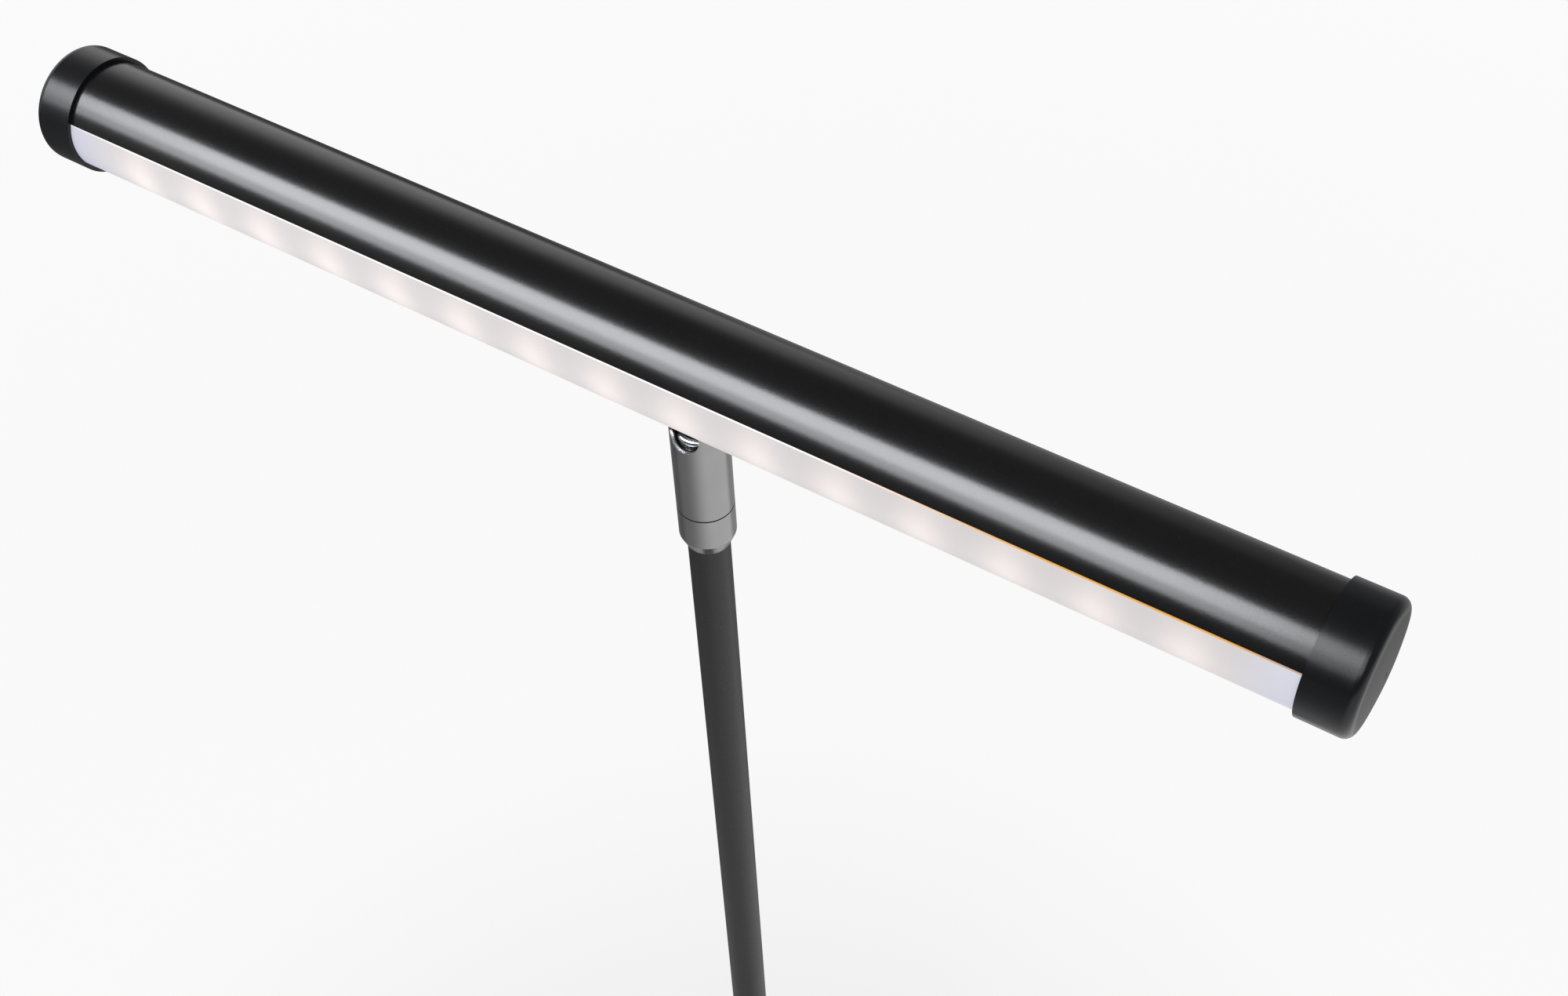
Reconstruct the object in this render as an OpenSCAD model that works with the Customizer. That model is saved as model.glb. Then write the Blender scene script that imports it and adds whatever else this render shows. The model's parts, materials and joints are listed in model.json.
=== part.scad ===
// Piano lamp: a round light bar on a slotted ball swivel, a straight pole and a weighted base.
// The origin is the middle of the felt pad's underside. The pianist sits on the -Y side.

/* [Light bar] */
// Outside diameter of the light bar's tube
tube_d = 30; // [26:0.5:36]
// Wall of the light bar's tube
tube_wall = 1.6; // [1.3:0.1:2]
// Number of light chips along the bar
led_count = 15; // [9:2:21]
// Distance from one light chip to the next
led_pitch = 21.5; // [18:0.5:26]
// Diffuser between the last chip and the end cap
strip_margin = 24.5; // [18:0.5:30]
// Angle of the window that the diffuser fills
window_angle = 87; // [76:1:92]
// Angle from the middle of the window round to the bracket
window_to_bracket_angle = 98; // [94:1:104]
// Thickness of the diffuser
diffuser_t = 1.5; // [1.2:0.1:1.8]

/* [End caps] */
// Length of tube that an end cap covers
cap_cover = 8; // [5:0.5:12]
// Thickness of an end cap's rim outside the tube
cap_rim = 1.1; // [0.8:0.1:2]
// Thickness of an end cap's face
cap_face_t = 4.5; // [3.5:0.5:7]
// Rounding of an end cap's outer edge
cap_round = 2.4; // [1:0.2:3]

/* [Bracket] */
// Length of the oval bracket along the tube
bracket_l = 45.5; // [42:0.5:60]
// Width of the oval bracket
bracket_w = 24; // [20:0.5:26]
// Metal between the tube and the bracket's outer face
bracket_t = 5.5; // [4.5:0.5:8]
// Distance between the two bracket screws
bracket_screw_pitch = 29; // [28:0.5:32]
// Length of the bracket's round boss
boss_l = 9; // [7:0.5:14]
// Diameter of the boss where it leaves the bracket
boss_root_d = 16; // [14:0.5:18]
// Diameter of the boss at its free end
boss_end_d = 14.4; // [13.4:0.2:16]

/* [Swivel] */
// Outside diameter of the swivel's slotted body
swivel_d = 16; // [15.6:0.1:18]
// Wall of the swivel's slotted body
swivel_wall = 1.5; // [1.3:0.1:1.8]
// Length of the slotted body below the ball's centre
swivel_body_l = 37; // [34:0.5:50]
// Length of the collar under the slotted body
collar_l = 15; // [14:0.5:20]
// Diameter of the neck that swings in the slot
neck_d = 8; // [7.4:0.1:8.4]
// Neck that shows between the slotted body and the boss
neck_show = 5.5; // [4.5:0.5:10]
// Tilt of the neck from upright at rest
rest_tilt = 28; // [0:1:60]

/* [Pole] */
// Outside diameter of the pole
pole_d = 12; // [11:0.5:12.5]
// Wall of the pole
pole_wall = 1; // [0.8:0.1:1.3]
// Height of the light bar's axis above the table
light_height = 660; // [500:5:800]
// Distance from the base's back edge to the pole
pole_from_back = 25; // [20:1:40]

/* [Base] */
// Length of the base from left to right
base_l = 190; // [180:1:240]
// Depth of the base from front to back
base_w = 130; // [125:1:170]
// Height of the base with its pad
base_h = 22; // [21:0.5:30]
// Radius of the base's corners seen from above
base_corner = 20; // [12:1:30]
// Rounding of the base's top edge
base_round = 3; // [1:0.5:3]
// Wall of the base cover
cover_wall = 2.4; // [1.8:0.2:3]
// Thickness of the felt pad
pad_t = 2; // [1:0.5:3]
// Thickness of the steel bottom plate
plate_t = 1.5; // [1:0.5:2]
// Thickness of the iron weight
weight_t = 12; // [11:0.5:12.5]

/* [Dimmer] */
// Diameter of the dimmer knob
knob_d = 21; // [19:0.5:26]
// Height of the dimmer knob
knob_h = 13; // [12:0.5:18]
// Number of grip flutes round the knob
knob_flutes = 30; // [16:2:36]
// Distance that the knob travels when it is pressed
knob_travel = 0.8; // [0.4:0.1:0.9]
// Distance from the base's right edge to the knob
knob_from_side = 37; // [31:1:50]
// Distance from the base's front edge to the knob
knob_from_front = 29; // [25:1:39]

/* [Hidden] */
$fn = 96;

// Shared clearances
run_gap = 0.05;
seat_gap = 0.1;
loose_gap = 0.3;
overrun = 1;

// Light bar: the tube's section is drawn with the window towards +X
tube_r = tube_d / 2;
tube_in_r = tube_r - tube_wall;
strip_l = (led_count - 1) * led_pitch + 2 * strip_margin;
tube_l = strip_l + 2 * cap_cover;
window_half = window_angle / 2;
window_gap_angle = 0.5;
groove_angle = 9;
groove_stop_angle = 4;
groove_shelf_t = 1;
tongue_angle = 7;
tongue_overlap_angle = 4;
diffuser_inset = 0.15;
web_share = 0.7;
web_back = web_share * tube_in_r;
web_t = 1.4;
board_w = 10;
board_t = 1.6;
board_end_gap = 6;
board_top = web_t + board_t - web_back;
rail_w = 1.2;
rail_lip = 0.8;
rail_lip_t = 0.9;
chip_w = 5;
chip_t = 0.8;
port_r = 2.3;
port_bore_r = 1.25;
port_angle = 138;
port_inset = 2.1;
port_place_r = tube_in_r - port_inset;

// End caps
cap_r = tube_r + cap_rim;
cap_l = cap_cover + cap_face_t;
cap_dome = 1;
prong_l = 6;

// Bracket and neck, on the axis that runs from the ball's centre to the tube's axis
swivel_r = swivel_d / 2;
neck_r = neck_d / 2;
boss_end_z = swivel_r + neck_show;
face_z = boss_end_z + boss_l;
tube_axis_z = face_z + bracket_t + tube_r;
bracket_end_r = bracket_w / 2;
bracket_round = 3;
bracket_lip = 0.6;
bracket_h = bracket_t + tube_r - sqrt(tube_r * tube_r - bracket_end_r * bracket_end_r) - bracket_lip;
boss_round = 0.9;
boss_root_r = boss_root_d / 2;
boss_end_r = boss_end_d / 2;
thread_r = 5;
thread_l = 8;
wire_r = 2;
wire_hole_r = 3;
lead_r = 1.6;
lead_reach = 7;
neck_hex_flats = 8.6;
neck_hex_chamfer = 0.6;
neck_nut_flats = 12;
neck_nut_t = 2;
waist_share = 0.92;
waist_r = waist_share * neck_r;
waist_show = 1;
stem_r = 3;
screw_r = 2;
screw_head_r = 3.8;
screw_head_t = 2.2;
screw_head_round = 1.1;
screw_sink = 1.3;
screw_l = 9;
cross_w = 1;
cross_l = 4.4;
cross_depth = 1.1;
clamp_t = 2.4;
clamp_half_angle = 22;
clamp_margin = 7;
clamp_l = bracket_screw_pitch + 2 * clamp_margin;

// Ball swivel, measured from the ball's centre
body_in_r = swivel_r - swivel_wall;
ball_r = body_in_r - run_gap;
neck_slack = 0.5;
slot_half = neck_r + neck_slack;
ball_flat_z = sqrt(ball_r * ball_r - waist_r * waist_r);
ball_recess_share = 0.62;
ball_recess_z = ball_recess_share * ball_r;
clip_t = 0.7;
clip_groove_depth = 0.5;
clip_reach = 0.9;
clip_gap_w = 2.4;
clip_recess_r = stem_r + clip_reach + seat_gap;
stem_tail = 1.3;
stem_end_z = ball_recess_z + stem_tail;
seat_top_share = 0.74;
seat_top_z = seat_top_share * ball_r;
seat_l = 5.4;
seat_bore_r = 2.6;
seat_end_z = seat_top_z + seat_l;
spring_t = 0.5;
spring_rise = 0.4;
spring_inset = 0.3;
spring_step = spring_t + spring_rise + run_gap;
spigot_top_z = seat_end_z + 2 * spring_step + run_gap;
ring_groove_up = 6;
ring_groove_h = 1.3;
ring_groove_depth = 0.5;
ring_z = swivel_body_l - ring_groove_up;
collar_end_z = swivel_body_l + collar_l;
collar_chamfer_l = 4;
collar_chamfer = 1.6;
collar_socket_l = 8;
collar_roof_z = collar_end_z - collar_socket_l;
nipple_r = 4;
nipple_bore_r = 2.3;
nipple_grip = 9;
plug_l = 14;

// Pole
pole_r = pole_d / 2;
pole_in_r = pole_r - pole_wall;
pivot_z = light_height - tube_axis_z * cos(rest_tilt);
pole_top_z = pivot_z - collar_roof_z;
lead_over = 6;

// Base
pole_back = base_w / 2 - pole_from_back;
socket_r = 11;
socket_l = 12;
socket_floor = 3;
socket_round = 1.5;
cover_top_t = 3;
plate_top_z = pad_t + plate_t;
weight_top_z = plate_top_z + weight_t;
cover_in_z = base_h - cover_top_t;
weight_gap = 1.2;
nut_t = 4;
nut_flats = 13;
nipple_tail = 1;
nut_pocket_r = 11;
nut_washer_r = 9.5;
nut_washer_t = 1.2;
nipple_low_z = cover_in_z - nut_washer_t - nut_t - nipple_tail;
felt_inset = 3;
corner_boss_r = 4.5;
corner_boss_inset = 12;
base_screw_r = 1.5;
base_screw_head_r = 2.8;
base_screw_head_t = 1.2;
base_screw_l = 9;
screw_hole_extra = 1;

// Driver board and power inlet, in a pocket of the weight at the left of the back
drive_from_side = 47;
drive_left = base_l / 2 - drive_from_side;
drive_x = -drive_left;
drive_l = 46;
drive_w = 30;
drive_t = 1.6;
drive_margin = 3;
drive_from_back = 22;
drive_y = base_w / 2 - cover_wall - drive_from_back;
pillar_h = 2.5;
pillar_r = 2.4;
pillar_inset = 4;
drive_top_z = plate_top_z + pillar_h + drive_t;
inlet_w = 9;
inlet_h = 9.6;
inlet_l = 13;
inlet_nose_r = 4;
inlet_bore_r = 3.2;
inlet_bore_l = 9.5;
inlet_pin_r = 1;
inlet_pin_recess = 1;
inlet_shift = 10;
inlet_x = drive_x - inlet_shift;
inlet_z = drive_top_z + inlet_h / 2;
inlet_back_y = base_w / 2 - cover_wall - seat_gap;
can_r = 3;
can_h = 6;
pack_l = 9;
pack_w = 6;
pack_h = 2;
coil_w = 8;
coil_h = 4;
part_step = 10;
lead_rest = 4;

// Dimmer
knob_right = base_l / 2 - knob_from_side;
knob_forward = base_w / 2 - knob_from_front;
dimmer_w = 13;
dimmer_h = 7.4;
dimmer_floor = 1.2;
bush_r = 3.6;
bush_l = 4.2;
spindle_r = 2.5;
spindle_flat = 1;
plunger_t = 1.2;
dimmer_nut_flats = 10;
dimmer_nut_t = 2;
knob_r = knob_d / 2;
knob_gap = 1;
knob_roof_t = 3;
knob_recess_r = 7.4;
knob_recess_h = 5;
knob_round = 1.2;
flute_r = 0.65;
flute_stop = 2;
mark_w = 0.9;
mark_l = 5;
mark_depth = 0.4;
control_lead_r = 1.1;
channel_w = 4;
channel_turn_x = drive_x + drive_l / 4;
dimmer_low_z = cover_in_z - dimmer_h;
plunger_z = dimmer_low_z + dimmer_floor + knob_travel + seat_gap;
spindle_low_z = plunger_z + plunger_t + run_gap;
knob_z = base_h + knob_gap;
spindle_top_z = knob_z + knob_h - knob_roof_t - seat_gap;

black = [0.08, 0.08, 0.085];
satin_black = [0.11, 0.11, 0.12];
nickel = [0.45, 0.43, 0.42];
steel = [0.75, 0.75, 0.76];
brass = [0.72, 0.6, 0.35];
iron = [0.3, 0.29, 0.28];
opal = [0.93, 0.91, 0.9];
board_green = [0.1, 0.35, 0.2];
rubber = [0.06, 0.06, 0.06];

// Shared shapes

// A wedge of the plane between two angles that are less than 180 degrees apart
module wedge(from, to, reach) {
    mid = (from + to) / 2;
    polygon([
        [0, 0],
        reach * [cos(from), sin(from)],
        reach * [cos(mid), sin(mid)] / cos((to - from) / 4),
        reach * [cos(to), sin(to)]
    ]);
}

module ring_sector(outer, inner, from, to) {
    intersection() {
        difference() {
            circle(outer);
            circle(inner);
        }
        wedge(from, to, 2 * outer);
    }
}

module tube_shape(outer, inner, length) {
    difference() {
        cylinder(r = outer, h = length);
        translate([0, 0, -overrun]) cylinder(r = inner, h = length + 2 * overrun);
    }
}

module hexagon(flats, height) {
    cylinder(r = flats / sqrt(3), h = height, $fn = 6);
}

module rounded_rect(length, width, corner) {
    square([length - 2 * corner, width], center = true);
    square([length, width - 2 * corner], center = true);
    for (x = [-1, 1], y = [-1, 1])
        translate([x * (length / 2 - corner), y * (width / 2 - corner)]) circle(corner);
}

// Half the section of a puck whose top edge is rounded
module puck_section(radius, height, edge) {
    square([radius, height - edge]);
    square([radius - edge, height]);
    translate([radius - edge, height - edge]) intersection() {
        circle(edge);
        square(edge);
    }
}

// A section of a bar whose two top edges are rounded
module bar_section(width, height, edge) {
    for (side = [0, 1]) mirror([side, 0]) puck_section(width / 2, height, edge);
}

// A slab with round corners and a rounded top edge, standing on z = 0
module rounded_slab(length, width, height, corner, edge) {
    for (x = [-1, 1], y = [-1, 1])
        translate([x * (length / 2 - corner), y * (width / 2 - corner), 0])
            rotate_extrude() puck_section(corner, height, edge);
    rotate([90, 0, 90]) linear_extrude(length - 2 * corner, center = true)
        bar_section(width, height, edge);
    rotate([90, 0, 0]) linear_extrude(width - 2 * corner, center = true)
        bar_section(length, height, edge);
}

// Places

// From the neck's frame, ball centre at the origin and neck along +Z, to the lamp's frame
module at_neck() {
    translate([0, pole_back, pivot_z]) rotate([rest_tilt, 0, 0]) children();
}

// From the swivel's frame, ball centre at the origin and pole downwards, to the lamp's frame
module at_swivel() {
    translate([0, pole_back, pivot_z]) children();
}

module at_pole(z) {
    translate([0, pole_back, z]) children();
}

// Turns a section of the light bar the right way round, with its axis along X
module at_bar(x) {
    translate([x, 0, tube_axis_z]) rotate([90, 0, 90]) rotate(-90 - window_to_bracket_angle)
        children();
}

module along_bar(length) {
    at_bar(-length / 2) linear_extrude(length) children();
}

module at_bracket_screws(z) {
    for (side = [-1, 1]) translate([side * bracket_screw_pitch / 2, 0, z]) children();
}

module at_base_corners() {
    for (x = [-1, 1], y = [-1, 1])
        translate([x * (base_l / 2 - corner_boss_inset), y * (base_w / 2 - corner_boss_inset)])
            children();
}

module at_knob(z) {
    translate([knob_right, -knob_forward, z]) children();
}

module at_drive_corners() {
    for (x = [-1, 1], y = [-1, 1])
        translate([drive_x + x * (drive_l / 2 - pillar_inset),
            drive_y + y * (drive_w / 2 - pillar_inset)]) children();
}

// Light bar

module port_places() {
    for (side = [-1, 1]) rotate(side * port_angle) translate([port_place_r, 0]) children();
}

// The groove that the diffuser's tongue slides in, on one side of the window
module diffuser_groove() {
    shelf_r = tube_in_r - diffuser_t;
    stop_from = window_half + groove_angle;
    stop_to = stop_from + groove_stop_angle;
    ring_sector(shelf_r, shelf_r - groove_shelf_t, window_half, stop_to);
    ring_sector(tube_in_r + tube_wall / 2, shelf_r - groove_shelf_t, stop_from, stop_to);
}

module board_rail() {
    lip_x = board_top + seat_gap;
    rail_y = board_w / 2 + seat_gap;
    translate([web_t / 2 - web_back, rail_y])
        square([lip_x + rail_lip_t + web_back - web_t / 2, rail_w]);
    translate([lip_x, rail_y - rail_lip]) square([rail_lip_t, rail_lip + rail_w / 2]);
}

module tube_profile() {
    difference() {
        union() {
            difference() {
                circle(tube_r);
                circle(tube_in_r);
                wedge(-window_half, window_half, tube_d);
            }
            intersection() {
                translate([-web_back, -tube_r]) square([web_t, tube_d]);
                circle(tube_r - tube_wall / 2);
            }
            for (side = [0, 1]) mirror([0, side]) {
                diffuser_groove();
                board_rail();
            }
            port_places() circle(port_r);
        }
        port_places() circle(port_bore_r);
    }
}

module head_tube() {
    drill_l = bracket_t + tube_wall + overrun;
    color(black) at_neck() difference() {
        along_bar(tube_l) tube_profile();
        at_bracket_screws(face_z) cylinder(r = screw_r + seat_gap, h = drill_l);
        translate([0, 0, face_z]) cylinder(r = wire_hole_r, h = drill_l);
    }
}

module diffuser_profile() {
    outer_r = tube_r - diffuser_inset;
    edge = window_half - window_gap_angle;
    tongue_out_r = tube_in_r - seat_gap;
    tongue_in_r = tube_in_r - diffuser_t + seat_gap;
    ring_sector(outer_r, tongue_in_r, -edge, edge);
    for (side = [0, 1]) mirror([0, side])
        ring_sector(tongue_out_r, tongue_in_r, window_half - tongue_overlap_angle,
            window_half + tongue_angle);
}

module diffuser() {
    color(opal) at_neck() along_bar(tube_l) diffuser_profile();
}

// The slight crown of an end cap's face
module cap_crown() {
    flat_r = cap_r - cap_round;
    crown_r = (flat_r * flat_r + cap_dome * cap_dome) / (2 * cap_dome);
    intersection() {
        translate([0, 0, cap_dome - crown_r]) sphere(crown_r);
        translate([0, 0, -cap_dome]) cylinder(r = flat_r, h = 4 * cap_dome);
    }
}

// An end cap on the +X end of the light bar
module end_cap() {
    translate([tube_l / 2, 0, tube_axis_z]) rotate([0, 90, 0]) {
        difference() {
            translate([0, 0, -cap_cover]) rotate_extrude() puck_section(cap_r, cap_l, cap_round);
            translate([0, 0, -cap_cover - overrun])
                cylinder(r = tube_r + run_gap, h = cap_cover + overrun);
        }
        translate([0, 0, cap_face_t]) cap_crown();
        rotate(-window_to_bracket_angle) port_places() translate([0, 0, -prong_l])
            cylinder(r = port_bore_r - run_gap, h = prong_l + cap_face_t / 2);
    }
}

module right_end_cap() {
    color(black) at_neck() end_cap();
}

module left_end_cap() {
    color(black) at_neck() mirror([1, 0, 0]) end_cap();
}

module led_board() {
    color(board_green) at_neck() along_bar(tube_l - 2 * board_end_gap)
        translate([web_t - web_back, -board_w / 2]) square([board_t, board_w]);
}

module led_chips() {
    first = -(led_count - 1) * led_pitch / 2;
    color(opal) at_neck() for (i = [0 : led_count - 1]) at_bar(first + i * led_pitch)
        translate([board_top, -chip_w / 2, -chip_w / 2]) cube([chip_t, chip_w, chip_w]);
}

module clamp_strip() {
    drill_l = tube_r;
    color(steel) at_neck() difference() {
        along_bar(clamp_l) ring_sector(tube_in_r - seat_gap, tube_in_r - seat_gap - clamp_t,
            window_to_bracket_angle - clamp_half_angle, window_to_bracket_angle + clamp_half_angle);
        at_bracket_screws(face_z) cylinder(r = screw_r + run_gap, h = bracket_t + drill_l);
        translate([0, 0, face_z]) cylinder(r = wire_hole_r, h = bracket_t + drill_l);
    }
}

// Bracket

// A long round-ended puck that stands on z = 0 with its top edge rounded
module oval_puck(length, width, height, edge) {
    for (side = [-1, 1]) translate([side * (length - width) / 2, 0, 0])
        rotate_extrude() puck_section(width / 2, height, edge);
    rotate([90, 0, 90]) linear_extrude(length - width, center = true)
        bar_section(width, height, edge);
}

module boss_section() {
    polygon([
        [0, face_z + bracket_t / 2],
        [boss_root_r, face_z + bracket_t / 2],
        [boss_root_r, face_z],
        [boss_end_r, boss_end_z + boss_round],
        [boss_end_r - boss_round, boss_end_z],
        [0, boss_end_z]
    ]);
}

module bracket() {
    sink_r = screw_head_r + loose_gap;
    color(satin_black) at_neck() difference() {
        union() {
            translate([0, 0, face_z + bracket_h]) mirror([0, 0, 1])
                oval_puck(bracket_l, bracket_w, bracket_h, bracket_round);
            rotate_extrude() boss_section();
        }
        translate([-bracket_l, 0, tube_axis_z]) rotate([0, 90, 0])
            cylinder(r = tube_r + run_gap, h = 2 * bracket_l);
        translate([0, 0, boss_end_z - overrun])
            cylinder(r = thread_r + run_gap, h = thread_l + overrun);
        translate([0, 0, boss_end_z]) cylinder(r = wire_hole_r, h = tube_axis_z);
        at_bracket_screws(face_z - overrun) cylinder(r = sink_r, h = screw_sink + overrun);
        at_bracket_screws(face_z) cylinder(r = screw_r + seat_gap, h = bracket_t + overrun);
    }
}

module bracket_screws() {
    color(steel) at_neck() at_bracket_screws(face_z + screw_sink) difference() {
        union() {
            mirror([0, 0, 1])
                rotate_extrude() puck_section(screw_head_r, screw_head_t, screw_head_round);
            cylinder(r = screw_r, h = screw_l);
        }
        for (turn = [0, 90]) rotate(turn)
            translate([-cross_l / 2, -cross_w / 2, -screw_head_t - overrun])
                cube([cross_l, cross_w, cross_depth + overrun]);
    }
}

module head_lead() {
    lead_top = tube_axis_z - lead_reach;
    color(rubber) at_neck() translate([0, 0, -ball_recess_z])
        cylinder(r = lead_r, h = ball_recess_z + lead_top);
}

// Swivel

module swivel_neck() {
    shoulder_z = ball_flat_z + run_gap;
    hex_z = swivel_r + waist_show;
    groove_z = ball_recess_z + run_gap;
    color(nickel) at_neck() difference() {
        union() {
            translate([0, 0, -stem_end_z]) cylinder(r = stem_r, h = stem_end_z + shoulder_z);
            translate([0, 0, shoulder_z]) cylinder(r = waist_r, h = hex_z - shoulder_z);
            intersection() {
                translate([0, 0, hex_z]) hexagon(neck_hex_flats, boss_end_z - hex_z);
                translate([0, 0, hex_z])
                    cylinder(r1 = neck_hex_flats / 2 - neck_hex_chamfer / 2,
                        r2 = neck_hex_flats, h = neck_hex_flats);
            }
            translate([0, 0, boss_end_z - neck_nut_t - seat_gap])
                cylinder(r = thread_r, h = neck_nut_t + thread_l);
        }
        translate([0, 0, -stem_end_z - overrun])
            cylinder(r = wire_r, h = stem_end_z + boss_end_z + thread_l + 2 * overrun);
        translate([0, 0, -groove_z - clip_t - run_gap]) difference() {
            cylinder(r = stem_r + overrun, h = clip_t + run_gap);
            cylinder(r = stem_r - clip_groove_depth, h = clip_t + run_gap);
        }
    }
}

module neck_nut() {
    color(nickel) at_neck() translate([0, 0, boss_end_z - neck_nut_t]) difference() {
        hexagon(neck_nut_flats, neck_nut_t);
        translate([0, 0, -overrun]) cylinder(r = thread_r + run_gap, h = neck_nut_t + 2 * overrun);
    }
}

// A split ring that stands on z = 0
module split_ring(outer, inner, height, gap) {
    difference() {
        cylinder(r = outer, h = height);
        translate([0, 0, -overrun]) cylinder(r = inner, h = height + 2 * overrun);
        translate([0, -gap / 2, -overrun]) cube([outer + overrun, gap, height + 2 * overrun]);
    }
}

module neck_clip() {
    clip_in_r = stem_r - clip_groove_depth + run_gap;
    color(steel) at_neck() translate([0, 0, -ball_recess_z - run_gap - clip_t])
        split_ring(stem_r + clip_reach, clip_in_r, clip_t - run_gap, clip_gap_w);
}

module swivel_ball() {
    color(steel) at_neck() difference() {
        sphere(ball_r);
        translate([0, 0, ball_flat_z]) cylinder(r = ball_r, h = ball_r);
        translate([0, 0, -ball_r - overrun]) cylinder(r = stem_r + run_gap, h = 2 * ball_r + 2 * overrun);
        translate([0, 0, -ball_r - overrun])
            cylinder(r = clip_recess_r, h = ball_r + overrun - ball_recess_z);
    }
}

// The room that the neck swings through, from upright to level
module neck_slot() {
    slot_l = swivel_r + overrun;
    cylinder(r = slot_half, h = slot_l);
    rotate([90, 0, 0]) cylinder(r = slot_half, h = slot_l);
    translate([-slot_half, -slot_l, 0]) cube([2 * slot_half, slot_l, slot_l]);
}

module swivel_body() {
    color(nickel) at_swivel() difference() {
        union() {
            sphere(swivel_r);
            translate([0, 0, -swivel_body_l]) cylinder(r = swivel_r, h = swivel_body_l);
        }
        sphere(body_in_r);
        translate([0, 0, -swivel_body_l - overrun])
            cylinder(r = body_in_r, h = swivel_body_l + overrun);
        neck_slot();
        translate([0, 0, -ring_z - ring_groove_h / 2])
            cylinder(r = body_in_r + ring_groove_depth, h = ring_groove_h);
    }
}

module ball_seat() {
    color(board_green) at_swivel() difference() {
        translate([0, 0, -seat_end_z]) cylinder(r = body_in_r - seat_gap, h = seat_l);
        sphere(body_in_r);
        translate([0, 0, -seat_end_z - overrun]) cylinder(r = seat_bore_r, h = seat_l + overrun);
    }
}

// Two dished washers, back to back
module seat_springs() {
    outer = body_in_r - spring_inset;
    color(steel) at_swivel() translate([0, 0, -seat_end_z - spring_step]) for (side = [0, 1])
        mirror([0, 0, side]) rotate_extrude() polygon([
            [nipple_r, run_gap / 2],
            [outer, run_gap / 2 + spring_rise],
            [outer, run_gap / 2 + spring_rise + spring_t],
            [nipple_r, run_gap / 2 + spring_t]
        ]);
}

module swivel_collar() {
    spigot_r = body_in_r - run_gap;
    color(nickel) at_swivel() difference() {
        rotate_extrude() polygon([
            [0, -collar_end_z],
            [swivel_r - collar_chamfer, -collar_end_z],
            [swivel_r, -collar_end_z + collar_chamfer_l],
            [swivel_r, -swivel_body_l - run_gap],
            [spigot_r, -swivel_body_l - run_gap],
            [spigot_r, -spigot_top_z],
            [0, -spigot_top_z]
        ]);
        translate([0, 0, -collar_end_z - overrun])
            cylinder(r = pole_r + run_gap, h = collar_socket_l + overrun);
        translate([0, 0, -collar_roof_z - overrun])
            cylinder(r = nipple_r + run_gap, h = nipple_grip + 2 * overrun);
        translate([0, 0, -collar_roof_z]) cylinder(r = wire_hole_r, h = collar_roof_z);
        translate([0, 0, -ring_z - ring_groove_h / 2]) difference() {
            cylinder(r = spigot_r + overrun, h = ring_groove_h);
            cylinder(r = spigot_r - ring_groove_depth, h = ring_groove_h);
        }
    }
}

module collar_clip() {
    color(steel) at_swivel() translate([0, 0, -ring_z - ring_groove_h / 2 + run_gap])
        split_ring(body_in_r + ring_groove_depth - run_gap, body_in_r - ring_groove_depth,
            ring_groove_h - 2 * run_gap, clip_gap_w);
}

// Pole

module nipple(length) {
    tube_shape(nipple_r, nipple_bore_r, length);
}

module top_nipple() {
    color(steel) at_pole(pole_top_z - nipple_grip) nipple(2 * nipple_grip);
}

module pole_top_plug() {
    color(steel) at_pole(pole_top_z - plug_l)
        tube_shape(pole_in_r - run_gap, nipple_r + run_gap, plug_l);
}

module pole() {
    pole_low_z = base_h + socket_floor;
    color(satin_black) at_pole(pole_low_z) tube_shape(pole_r, pole_in_r, pole_top_z - pole_low_z);
}

module pole_bottom_plug() {
    color(steel) at_pole(base_h + socket_floor)
        tube_shape(pole_in_r - run_gap, nipple_r + run_gap, plug_l);
}

module bottom_nipple() {
    nipple_top_z = base_h + socket_floor + nipple_grip;
    color(steel) at_pole(nipple_low_z) nipple(nipple_top_z - nipple_low_z);
}

module pole_lead() {
    turn_z = drive_top_z + lead_r + run_gap;
    run_l = drive_left - drive_l / 2 + lead_rest;
    color(rubber) at_pole(turn_z) {
        cylinder(r = lead_r, h = pole_top_z + lead_over - turn_z);
        sphere(lead_r);
        rotate([0, -90, 0]) cylinder(r = lead_r, h = run_l);
    }
}

module pole_socket() {
    color(satin_black) at_pole(base_h) difference() {
        rotate_extrude() puck_section(socket_r, socket_l, socket_round);
        translate([0, 0, socket_floor]) cylinder(r = pole_r + run_gap, h = socket_l);
        translate([0, 0, -overrun]) cylinder(r = nipple_r + seat_gap, h = socket_floor + 2 * overrun);
    }
}

// Base

module base_cover() {
    in_l = base_l - 2 * cover_wall;
    in_w = base_w - 2 * cover_wall;
    in_corner = base_corner - cover_wall;
    boss_h = cover_in_z - plate_top_z;
    color(satin_black) difference() {
        union() {
            translate([0, 0, pad_t]) difference() {
                rounded_slab(base_l, base_w, base_h - pad_t, base_corner, base_round);
                translate([0, 0, -overrun]) linear_extrude(cover_in_z - pad_t + overrun)
                    rounded_rect(in_l, in_w, in_corner);
            }
            at_base_corners() translate([0, 0, plate_top_z])
                cylinder(r = corner_boss_r, h = boss_h + cover_top_t / 2);
        }
        at_base_corners() translate([0, 0, plate_top_z - overrun])
            cylinder(r = base_screw_r + run_gap, h = base_screw_l + 2 * overrun);
        at_pole(cover_in_z - overrun)
            cylinder(r = nipple_r + seat_gap, h = cover_top_t + 2 * overrun);
        at_knob(cover_in_z - overrun) cylinder(r = bush_r + seat_gap, h = cover_top_t + 2 * overrun);
        translate([inlet_x, base_w / 2 + overrun, inlet_z]) rotate([90, 0, 0])
            cylinder(r = inlet_nose_r + seat_gap, h = cover_wall + 2 * overrun);
    }
}

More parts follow.
